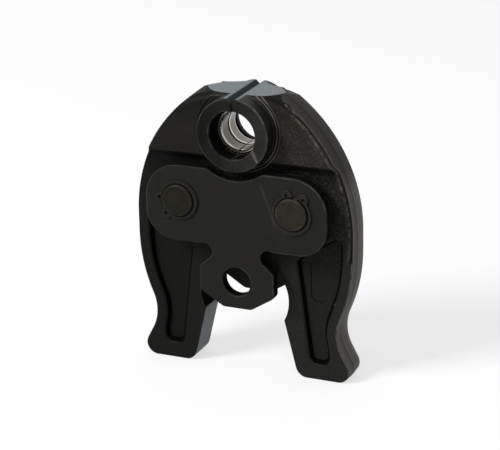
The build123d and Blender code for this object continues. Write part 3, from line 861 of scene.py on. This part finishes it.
def jaw_material(finish):
    """Black oxide on cast steel: a grainy satin black, smoother where cut, bare in the contour."""
    material, tree, shader = new_material("Black oxide cast steel", Specular_IOR_Level=0.06)
    zones = jaw_zones(tree)
    colour, mottle, relief = cast_skin(tree, zones, finish)
    coats = {
        "turned": turned_skin(tree, zones, finish, mottle),
        # The hollows are painted black for their shade, and the rear end of the mouth lighter for the light on it
        "shade_black": finish.shade_black,
        "lit_rear_mouth": shade(finish.milled, 0.55),
        "slot": shade(finish.crown, 0.35),
        "milled": finish.milled,
        "crown": finish.crown,
    }
    crease, beside = dressed_edge(tree, zones)
    unworn = add(tree, "ShaderNodeMath", {0: 1.0, 1: crease}, operation="SUBTRACT")
    wear = jaw_wear(tree, zones, mottle)
    wear = add(tree, "ShaderNodeMath", {0: wear, 1: unworn}, operation="MULTIPLY")
    # Each layer covers those before it
    layers = [(zones[zone], coat) for zone, coat in coats.items()]
    layers += [(beside, finish.worn), (crease, finish.rust), (wear, finish.worn)]
    layers += [(zones["land"], contour_steel(tree, zones, finish))]
    for mask, coat in layers:
        colour = add(tree, "ShaderNodeMix", {"Factor": mask, 6: colour, 7: coat}, data_type="RGBA")

    cut = zones["turned"]
    for zone in ("milled", "crown"):
        cut = add(tree, "ShaderNodeMath", {0: cut, 1: zones[zone]}, operation="MAXIMUM")
    matt = add(
        tree,
        "ShaderNodeMath",
        {0: zones["shade_black"], 1: zones["milled"]},
        operation="SUBTRACT",
        use_clamp=True,
    )
    rough = add(tree, "ShaderNodeMapRange", {"Value": mottle, "To Min": 0.44, "To Max": 0.6})
    for mask, roughness in ((cut, 0.38), (matt, 1.0), (zones["land"], 0.26)):
        rough = add(tree, "ShaderNodeMix", {"Factor": mask, 2: rough, 3: roughness})
    # Turning marks about the press axis, drawn at 0.6 mm because real ones are too fine to show
    marks = turning_marks(tree, zones["radius"], 0.6 * MM)
    marks = add(tree, "ShaderNodeMath", {0: marks, 1: 0.03}, operation="MULTIPLY")
    relief = add(tree, "ShaderNodeMix", {"Factor": cut, 2: relief, 3: marks})
    bump = add(tree, "ShaderNodeBump", {"Strength": 0.6, "Distance": 0.25 * MM, "Height": relief})
    feed(tree, shader, {"Base Color": colour, "Metallic": zones["land"], "Roughness": rough, "Normal": bump})
    return material


def edge_faces(tree, coordinates):
    """A mask of the faces that run from front to rear, such as a plate's cut edge and a pin's side."""
    facing = add(tree, "ShaderNodeSeparateXYZ", {0: coordinates.outputs["Normal"]})
    facing = add(tree, "ShaderNodeMath", {0: facing.outputs["Y"]}, operation="ABSOLUTE")
    return add(tree, "ShaderNodeMath", {0: facing, 1: 0.5}, operation="LESS_THAN")


def right_share(tree, place, start, end, least, most):
    """A share that grows to the right, from the least at a start to the most at an end: wear, made brighter by
    painted light from the right.
    """
    across = add(tree, "ShaderNodeSeparateXYZ", {0: place})
    return add(
        tree,
        "ShaderNodeMapRange",
        {
            "Value": across.outputs["X"],
            "From Min": start,
            "From Max": end,
            "To Min": least,
            "To Max": most,
        },
    )


def plate_material(finish):
    """Black oxide on rolled plate: an even satin black with brown clouds, matt on the cut edges and painted near
    black there for their shade.
    """
    material, tree, shader = new_material("Black oxide plate steel", Specular_IOR_Level=0.06)
    coordinates = add(tree, "ShaderNodeTexCoord")
    place = coordinates.outputs["Object"]
    edge = edge_faces(tree, coordinates)
    clouds = add(tree, "ShaderNodeTexNoise", {"Vector": place, "Scale": 1 / (9 * MM), "Detail": 4.0})
    tooth = add(tree, "ShaderNodeTexNoise", {"Vector": place, "Scale": 1 / (0.6 * MM), "Detail": 2.0})
    brown = add(
        tree,
        "ShaderNodeMapRange",
        {"Value": clouds, "From Min": 0.5, "From Max": 0.7, "To Max": 0.4},
    )
    # Edge wear, painted brighter towards the right for the light from the right
    share = right_share(tree, place, -25 * MM, 20 * MM, 0.08, 1.7)
    wear = edge_wear(tree, 0.4 * MM, 6 * MM)
    wear = add(tree, "ShaderNodeMath", {0: wear, 1: share}, operation="MULTIPLY", use_clamp=True)
    scuff = rub_mark(tree, place, *PLATE_SCUFF, 0.9 * MM)
    scuff = add(tree, "ShaderNodeMath", {0: scuff, 1: 0.2}, operation="MULTIPLY")
    wear = add(tree, "ShaderNodeMath", {0: wear, 1: scuff}, operation="MAXIMUM")
    colour = add(
        tree,
        "ShaderNodeMix",
        {"Factor": clouds, 6: shade(finish.plate, 0.8), 7: shade(finish.plate, 1.3)},
        data_type="RGBA",
    )
    # Painted shade: the cut edges are painted near black
    for mask, coat in ((brown, finish.brown), (edge, shade(finish.plate, 0.15)), (wear, finish.worn)):
        colour = add(tree, "ShaderNodeMix", {"Factor": mask, 6: colour, 7: coat}, data_type="RGBA")
    rough = add(tree, "ShaderNodeMapRange", {"Value": clouds, "To Min": 0.4, "To Max": 0.5})
    rough = add(tree, "ShaderNodeMix", {"Factor": edge, 2: rough, 3: 1.0})
    bump = add(tree, "ShaderNodeBump", {"Strength": 0.25, "Distance": 0.05 * MM, "Height": tooth})
    feed(tree, shader, {"Base Color": colour, "Roughness": rough, "Normal": bump})
    return material


def pin_material(finish, side):
    """Black oxide on ground bar: satin black with turning marks on the end, matt on its side and painted black
    there for its shade.
    """
    material, tree, shader = new_material(f"Black oxide ground steel {side}", Specular_IOR_Level=0.07)
    coordinates = add(tree, "ShaderNodeTexCoord")
    place = coordinates.outputs["Object"]
    shaded_flank = edge_faces(tree, coordinates)
    radius = distance_from_axis(tree, place, (SIDES[side] * PIVOT_OFFSET, 0, PIVOT_HEIGHT))
    clouds = add(tree, "ShaderNodeTexNoise", {"Vector": place, "Scale": 1 / (4 * MM), "Detail": 4.0})
    wear = edge_wear(tree, 0.5 * MM, 4 * MM)
    # The right pin is painted paler than the left one, for the light from the right
    pale = 1.0 + 0.25 * SIDES[side]
    colour = add(
        tree,
        "ShaderNodeMix",
        {"Factor": clouds, 6: shade(finish.pin, 0.6 * pale), 7: shade(finish.pin, 1.5 * pale)},
        data_type="RGBA",
    )
    # Painted shade on the pin's side
    for mask, coat in ((shaded_flank, shade(finish.pin, 0.3)), (wear, finish.worn)):
        colour = add(tree, "ShaderNodeMix", {"Factor": mask, 6: colour, 7: coat}, data_type="RGBA")
    rough = add(tree, "ShaderNodeMapRange", {"Value": clouds, "To Min": 0.38, "To Max": 0.5})
    rough = add(tree, "ShaderNodeMix", {"Factor": shaded_flank, 2: rough, 3: 0.7})
    # Turning marks on the ends, drawn at 0.9 mm because real ones are too fine to show
    marks = turning_marks(tree, radius, 0.9 * MM)
    bump = add(tree, "ShaderNodeBump", {"Strength": 0.15, "Distance": 0.05 * MM, "Height": marks})
    feed(tree, shader, {"Base Color": colour, "Roughness": rough, "Normal": bump})
    return material


def ring_material(finish):
    """Phosphated spring steel: a matt dark grey, pale on rubbed edges and painted black for shade in the pin's
    groove.
    """
    material, tree, shader = new_material("Phosphated spring steel", Specular_IOR_Level=0.06)
    place = add(tree, "ShaderNodeTexCoord").outputs["Object"]
    mirrored = add(tree, "ShaderNodeVectorMath", {0: place}, operation="ABSOLUTE").outputs["Vector"]
    radius = distance_from_axis(tree, mirrored, (PIVOT_OFFSET, 0, PIVOT_HEIGHT))
    groove_shade = add(
        tree,
        "ShaderNodeMapRange",
        {"Value": radius, "From Min": PIN_RADIUS + 0.9 * MM, "From Max": PIN_RADIUS + 0.5 * MM},
    )
    clouds = add(tree, "ShaderNodeTexNoise", {"Vector": place, "Scale": 1 / (2 * MM), "Detail": 3.0})
    # Edge wear on the rings, painted stronger on the right pin for the light from the right
    share = right_share(tree, place, -20 * MM, 20 * MM, 0.1, 1.3)
    wear = edge_wear(tree, 0.3 * MM, 2 * MM)
    wear = add(tree, "ShaderNodeMath", {0: wear, 1: share}, operation="MULTIPLY", use_clamp=True)
    colour = add(
        tree,
        "ShaderNodeMix",
        {"Factor": clouds, 6: shade(finish.retainer, 0.75), 7: shade(finish.retainer, 1.3)},
        data_type="RGBA",
    )
    for mask, coat in ((wear, finish.worn), (groove_shade, shade(finish.retainer, 0.1))):
        colour = add(tree, "ShaderNodeMix", {"Factor": mask, 6: colour, 7: coat}, data_type="RGBA")
    rough = add(tree, "ShaderNodeMapRange", {"Value": clouds, "To Min": 0.4, "To Max": 0.52})
    rough = add(tree, "ShaderNodeMix", {"Factor": groove_shade, 2: rough, 3: 0.8})
    feed(tree, shader, {"Base Color": colour, "Roughness": rough})
    return material


def small_steel_material(name, colour, roughness, **constants):
    """Steel of a small part: an even colour with faint clouds and rubbed edges."""
    material, tree, shader = new_material(name, **constants)
    place = add(tree, "ShaderNodeTexCoord").outputs["Object"]
    clouds = add(tree, "ShaderNodeTexNoise", {"Vector": place, "Scale": 1 / (2 * MM), "Detail": 3.0})
    cloudy = add(
        tree,
        "ShaderNodeMix",
        {"Factor": clouds, 6: shade(colour, 0.75), 7: shade(colour, 1.3)},
        data_type="RGBA",
    )
    wear = edge_wear(tree, 0.25 * MM, 2 * MM)
    worn = add(tree, "ShaderNodeMix", {"Factor": wear, 6: cloudy, 7: shade(colour, 5)}, data_type="RGBA")
    rough = add(
        tree,
        "ShaderNodeMapRange",
        {"Value": clouds, "To Min": roughness - 0.06, "To Max": roughness + 0.06},
    )
    feed(tree, shader, {"Base Color": worn, "Roughness": rough})
    return material


def size_inputs(tree, names):
    """Gives a node tree one input for each named size, and its geometry output; returns the inputs."""
    for name in names:
        tree.interface.new_socket(name=name, in_out="INPUT", socket_type="NodeSocketFloat")
    tree.interface.new_socket(name="Geometry", in_out="OUTPUT", socket_type="NodeSocketGeometry")
    return add(tree, "NodeGroupInput").outputs


def wire_skin(tree, path, thickness, material):
    """Ends a node tree with a round bar along a path, in a material."""
    section = add(tree, "GeometryNodeCurvePrimitiveCircle", {"Resolution": 12, "Radius": thickness})
    bar = add(
        tree,
        "GeometryNodeCurveToMesh",
        {"Curve": path, "Profile Curve": section.outputs["Curve"], "Fill Caps": True},
    )
    smooth = add(tree, "GeometryNodeSetShadeSmooth", {"Geometry": bar})
    whole = add(tree, "GeometryNodeRealizeInstances", {"Geometry": smooth})
    dressed = add(tree, "GeometryNodeSetMaterial", {"Geometry": whole, "Material": material})
    add(tree, "NodeGroupOutput", {"Geometry": dressed})


def grown_piece(name, tree, sizes):
    """A plain mesh piece that a node tree makes from the given sizes."""
    piece = bpy.data.objects.new(name, bpy.data.meshes.new(name))
    bpy.context.scene.collection.objects.link(piece)
    shape = piece.modifiers.new("shape", "NODES")
    shape.node_group = tree
    for socket in tree.interface.items_tree:
        if socket.in_out == "INPUT":
            shape[socket.identifier] = float(sizes[socket.name])
    evaluated = piece.evaluated_get(bpy.context.evaluated_depsgraph_get())
    mesh = bpy.data.meshes.new_from_object(evaluated)
    piece.modifiers.clear()
    piece.data = mesh
    return piece


def spring_tree(material):
    """Node tree of a return spring: a coil round the pivot with a straight leg at each end."""
    tree = bpy.data.node_groups.new("return_spring", "GeometryNodeTree")
    given = size_inputs(tree, ("Side", "Wire", "Mean radius", "Turns", "Pitch", "Start", "Leg"))
    circle = add(tree, "ShaderNodeMath", {0: given["Mean radius"], 1: 2 * math.pi}, operation="MULTIPLY")
    coil = add(tree, "ShaderNodeMath", {0: circle, 1: given["Turns"]}, operation="MULTIPLY")
    whole = add(tree, "ShaderNodeMath", {0: given["Leg"], 1: 2.0, 2: coil}, operation="MULTIPLY_ADD")

    # Each point's way along the wire, from the start of the coil; a leg runs straight on from either end
    line = add(tree, "GeometryNodeCurvePrimitiveLine")
    points = add(tree, "GeometryNodeResampleCurve", {"Curve": line, "Count": 320})
    share = add(tree, "GeometryNodeSplineParameter")
    walked = add(tree, "ShaderNodeMath", {0: share, 1: whole}, operation="MULTIPLY")
    along = add(tree, "ShaderNodeMath", {0: walked, 1: given["Leg"]}, operation="SUBTRACT")
    wound = add(tree, "ShaderNodeClamp", {"Value": along, "Min": 0.0, "Max": coil})
    straight = add(tree, "ShaderNodeMath", {0: along, 1: wound}, operation="SUBTRACT")
    angle = add(tree, "ShaderNodeMath", {0: wound, 1: given["Mean radius"]}, operation="DIVIDE")
    cosine = add(tree, "ShaderNodeMath", {0: angle}, operation="COSINE")
    sine = add(tree, "ShaderNodeMath", {0: angle}, operation="SINE")
    lean = add(tree, "ShaderNodeMath", {0: straight, 1: sine}, operation="MULTIPLY")
    reach = add(tree, "ShaderNodeMath", {0: given["Mean radius"], 1: cosine}, operation="MULTIPLY")
    reach = add(tree, "ShaderNodeMath", {0: reach, 1: lean}, operation="SUBTRACT")
    out = add(tree, "ShaderNodeMath", {0: reach, 1: PIVOT_OFFSET}, operation="ADD")
    out = add(tree, "ShaderNodeMath", {0: out, 1: given["Side"]}, operation="MULTIPLY")
    rise = add(tree, "ShaderNodeMath", {0: given["Mean radius"], 1: sine}, operation="MULTIPLY")
    rise = add(tree, "ShaderNodeMath", {0: straight, 1: cosine, 2: rise}, operation="MULTIPLY_ADD")
    height = add(tree, "ShaderNodeMath", {0: rise, 1: PIVOT_HEIGHT}, operation="ADD")
    turn = add(tree, "ShaderNodeMath", {0: along, 1: circle}, operation="DIVIDE")
    depth = add(
        tree,
        "ShaderNodeMath",
        {0: turn, 1: given["Pitch"], 2: given["Start"]},
        operation="MULTIPLY_ADD",
    )
    place = add(tree, "ShaderNodeCombineXYZ", {"X": out, "Y": depth, "Z": height})
    path = add(tree, "GeometryNodeSetPosition", {"Geometry": points, "Position": place})
    half = add(tree, "ShaderNodeMath", {0: given["Wire"], 1: 0.5}, operation="MULTIPLY")
    wire_skin(tree, path, half, material)
    return tree


class JAWSET_OT_jaw_halves(bpy.types.Operator):
    """Finish the two cast jaw halves"""

    bl_idname = "jawset.jaw_halves"
    bl_label = "Jaw halves"

    def execute(self, context):
        dress(["left_jaw", "right_jaw"], jaw_material(context.scene.jawset_cast))
        return {"FINISHED"}


class JAWSET_OT_side_plates(bpy.types.Operator):
    """Finish the front and rear side plates"""

    bl_idname = "jawset.side_plates"
    bl_label = "Side plates"

    def execute(self, context):
        dress(["front_plate", "rear_plate"], plate_material(context.scene.jawset_plate))
        return {"FINISHED"}


class JAWSET_OT_pivot_pins(bpy.types.Operator):
    """Finish the pivot pins"""

    bl_idname = "jawset.pivot_pins"
    bl_label = "Pivot pins"

    def execute(self, context):
        for side in SIDES:
            dress([f"{side}_pivot_pin"], pin_material(context.scene.jawset_plate, side))
        return {"FINISHED"}


class JAWSET_OT_retaining_rings(bpy.types.Operator):
    """Finish the retaining rings on the ends of the pins"""

    bl_idname = "jawset.retaining_rings"
    bl_label = "Retaining rings"

    def execute(self, context):
        material = ring_material(context.scene.jawset_plate)
        dress([f"{face}_{side}_retaining_ring" for side in SIDES for face in FACES], material)
        return {"FINISHED"}


class JAWSET_OT_washers_and_anchors(bpy.types.Operator):
    """Finish the thrust washers and the spring anchors"""

    bl_idname = "jawset.washers_and_anchors"
    bl_label = "Washers and anchors"

    def execute(self, context):
        # Bare ground steel: a mid grey metal with a fine oily sheen
        colour = context.scene.jawset_plate.inner
        material = small_steel_material("Ground washer steel", colour, 0.35, Metallic=1.0)
        dress([f"{face}_{side}_thrust_washer" for side in SIDES for face in FACES], material)
        dress([f"{side}_spring_anchor" for side in SIDES], material)
        return {"FINISHED"}


class JAWSET_OT_return_springs(bpy.types.Operator):
    """Wind the return springs"""

    bl_idname = "jawset.return_springs"
    bl_label = "Return springs"

    def execute(self, context):
        shape = context.scene.jawset_spring
        # Drawn spring wire: a grey metal with a soft shine
        material = small_steel_material("Drawn spring wire", shape.colour, 0.32, Metallic=1.0)
        tree = spring_tree(material)
        for side, sign in SIDES.items():
            sizes = {
                "Side": sign,
                "Wire": shape.wire,
                "Mean radius": shape.mean_radius,
                "Turns": shape.turns,
                "Pitch": shape.pitch,
                "Start": shape.start,
                "Leg": shape.leg,
            }
            spring = grown_piece(f"{side}_wound_spring", tree, sizes)
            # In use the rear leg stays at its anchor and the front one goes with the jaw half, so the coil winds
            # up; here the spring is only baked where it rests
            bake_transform(spring)
            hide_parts(f"{side}_return_spring")
        return {"FINISHED"}


def seen_rays(tree):
    """One for rays that see the background: from the camera, in a reflection or through glass."""
    path = add(tree, "ShaderNodeLightPath")
    seen = add(
        tree,
        "ShaderNodeMath",
        {0: path.outputs["Is Camera Ray"], 1: path.outputs["Is Glossy Ray"]},
        operation="MAXIMUM",
    )
    through = path.outputs["Is Transmission Ray"]
    return add(tree, "ShaderNodeMath", {0: seen, 1: through}, operation="MAXIMUM")


def make_floor(stage):
    """A wide pale floor under the soles that looks white and keeps the shadow of the set."""
    mesh = bpy.data.meshes.new("floor")
    shape = bmesh.new()
    bmesh.ops.create_grid(shape, x_segments=1, y_segments=1, size=FLOOR_REACH)
    bmesh.ops.translate(shape, verts=shape.verts, vec=(0, 0, -FLOOR_GAP))
    shape.to_mesh(mesh)
    shape.free()
    floor = bpy.data.objects.new("floor", mesh)
    bpy.context.scene.collection.objects.link(floor)
    material = bpy.data.materials.new("Matt white studio floor")
    material.use_nodes = True
    tree = material.node_tree
    tree.nodes.clear()
    glow = add(tree, "ShaderNodeMath", {0: seen_rays(tree), 1: stage.floor_glow}, operation="MULTIPLY")
    paper = add(tree, "ShaderNodeBsdfDiffuse", {"Color": stage.floor})
    white = add(tree, "ShaderNodeEmission", {"Color": (1, 1, 1, 1), "Strength": glow})
    both = add(tree, "ShaderNodeAddShader", {0: paper, 1: white})
    add(tree, "ShaderNodeOutputMaterial", {"Surface": both})
    mesh.materials.append(material)


def make_world(stage):
    """Soft light from all round, and a white background."""
    world = bpy.data.worlds.new("White studio")
    bpy.context.scene.world = world
    world.use_nodes = True
    tree = world.node_tree
    tree.nodes.clear()
    seen = seen_rays(tree)
    strength = add(tree, "ShaderNodeMapRange", {"Value": seen, "To Min": stage.fill, "To Max": 1.0})
    sky = add(tree, "ShaderNodeBackground", {"Color": (1, 1, 1, 1), "Strength": strength})
    add(tree, "ShaderNodeOutputWorld", {"Surface": sky})


def make_softbox(stage):
    """A square lamp that faces the middle of the set."""
    lamp = bpy.data.lights.new("key_softbox", "AREA")
    lamp.size = stage.key_size
    lamp.energy = stage.key_power
    holder = bpy.data.objects.new("key_softbox", lamp)
    bpy.context.scene.collection.objects.link(holder)
    place = Vector(stage.key_place)
    way = place - Vector(MIDDLE)
    holder.matrix_world = Matrix.Translation(place) @ way.to_track_quat("Z", "Y").to_matrix().to_4x4()


def make_camera(stage):
    """The camera, where the photograph was taken from."""
    azimuth, elevation = stage.azimuth, stage.elevation
    out = math.cos(elevation)
    back = Vector((math.sin(azimuth) * out, -math.cos(azimuth) * out, math.sin(elevation)))
    level = Vector((math.cos(azimuth), math.sin(azimuth), 0))
    steep = back.cross(level)
    right = level * math.cos(stage.roll) + steep * math.sin(stage.roll)
    up = steep * math.cos(stage.roll) - level * math.sin(stage.roll)
    aim = Vector(BORE_FRONT) + right * stage.aim_right + up * stage.aim_up
    data = bpy.data.cameras.new("camera")
    data.sensor_width = 36
    data.lens = stage.lens
    data.clip_start = 0.01
    camera = bpy.data.objects.new("camera", data)
    bpy.context.scene.collection.objects.link(camera)
    turn = Matrix((right, up, back)).transposed().to_4x4()
    camera.matrix_world = Matrix.Translation(aim + back * stage.distance) @ turn
    bpy.context.scene.camera = camera


class JAWSET_OT_stage(bpy.types.Operator):
    """Make the floor, the light and the camera"""

    bl_idname = "jawset.stage"
    bl_label = "Stage"

    def execute(self, context):
        stage = context.scene.jawset_stage
        context.scene.view_settings.view_transform = "Standard"
        make_floor(stage)
        make_world(stage)
        make_softbox(stage)
        make_camera(stage)
        return {"FINISHED"}


class JAWSET_PT_panel(bpy.types.Panel):
    """Lists the steps that dress the jaw set"""

    bl_idname = "JAWSET_PT_panel"
    bl_label = "Jaw set"
    bl_space_type = "VIEW_3D"
    bl_region_type = "UI"
    bl_category = "Jaw set"

    def draw(self, context):
        for step in STEPS:
            self.layout.operator(step.bl_idname)


STEPS = (
    JAWSET_OT_jaw_halves,
    JAWSET_OT_side_plates,
    JAWSET_OT_pivot_pins,
    JAWSET_OT_retaining_rings,
    JAWSET_OT_washers_and_anchors,
    JAWSET_OT_return_springs,
    JAWSET_OT_stage,
)
GROUPS = {
    "jawset_cast": CastFinish,
    "jawset_plate": PlateFinish,
    "jawset_spring": SpringShape,
    "jawset_stage": StageSetup,
}


def register():
    for group in GROUPS.values():
        bpy.utils.register_class(group)
    for name, group in GROUPS.items():
        setattr(bpy.types.Scene, name, bpy.props.PointerProperty(type=group))
    for step in (*STEPS, JAWSET_PT_panel):
        bpy.utils.register_class(step)


def unregister():
    for step in (JAWSET_PT_panel, *reversed(STEPS)):
        bpy.utils.unregister_class(step)
    for name in GROUPS:
        delattr(bpy.types.Scene, name)
    for group in reversed(GROUPS.values()):
        bpy.utils.unregister_class(group)


def main():
    register()
    for step in STEPS:
        group, operator = step.bl_idname.split(".")
        getattr(getattr(bpy.ops, group), operator)()


if __name__ == "__main__":
    main()
